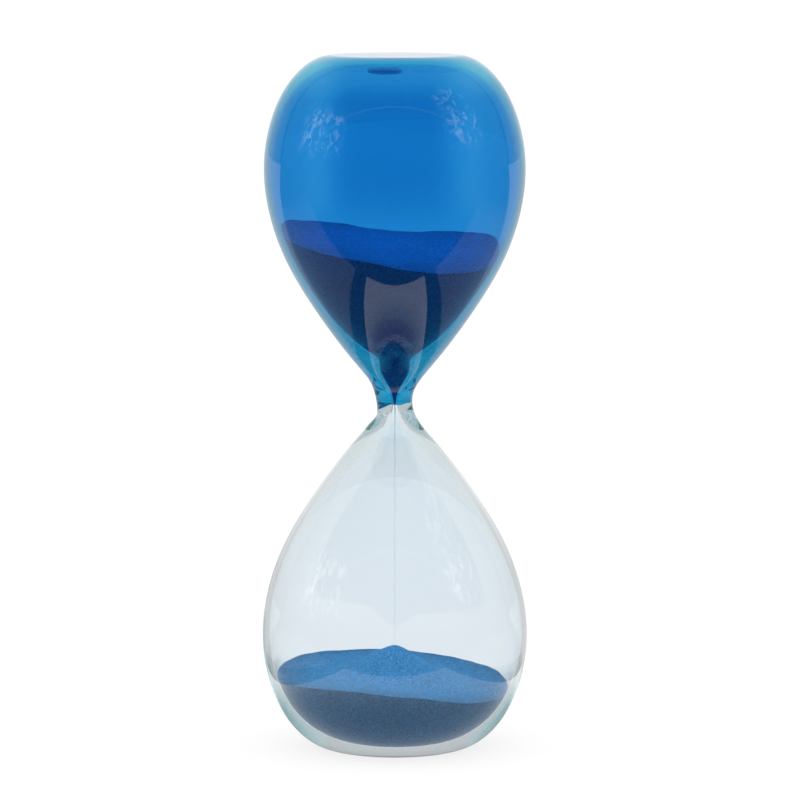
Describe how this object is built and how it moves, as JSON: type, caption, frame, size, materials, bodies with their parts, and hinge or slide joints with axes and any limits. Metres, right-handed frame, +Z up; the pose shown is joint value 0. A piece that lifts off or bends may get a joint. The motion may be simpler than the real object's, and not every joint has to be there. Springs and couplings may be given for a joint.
{
  "type": "hourglass",
  "caption": "All-glass hourglass, blue upper bulb fused to a clear lower bulb at a thick neck, part run: sand in both bulbs and a falling thread of sand. Stands free on either flat end.",
  "frame": {"origin": "centre of the lower flat end, on the surface it stands on", "axes": "+Z up along the axis of both bulbs, +X towards the low side of the sand, -Y towards the viewer"},
  "size_m": [0.0766, 0.0766, 0.2],
  "materials": {
    "blue_glass": "fire-polished transparent blue glass",
    "clear_glass": "fire-polished clear glass",
    "seal_glass": "flame-sealed blue glass",
    "sand": "dyed blue sand, fine dry grains"
  },
  "bodies": {
    "root": {"upper_bulb": "blue_glass", "lower_bulb": "clear_glass", "fill_seal": "seal_glass", "upper_sand": "sand", "sand_stream": "sand", "lower_sand": "sand"}
  },
  "joints": []
}
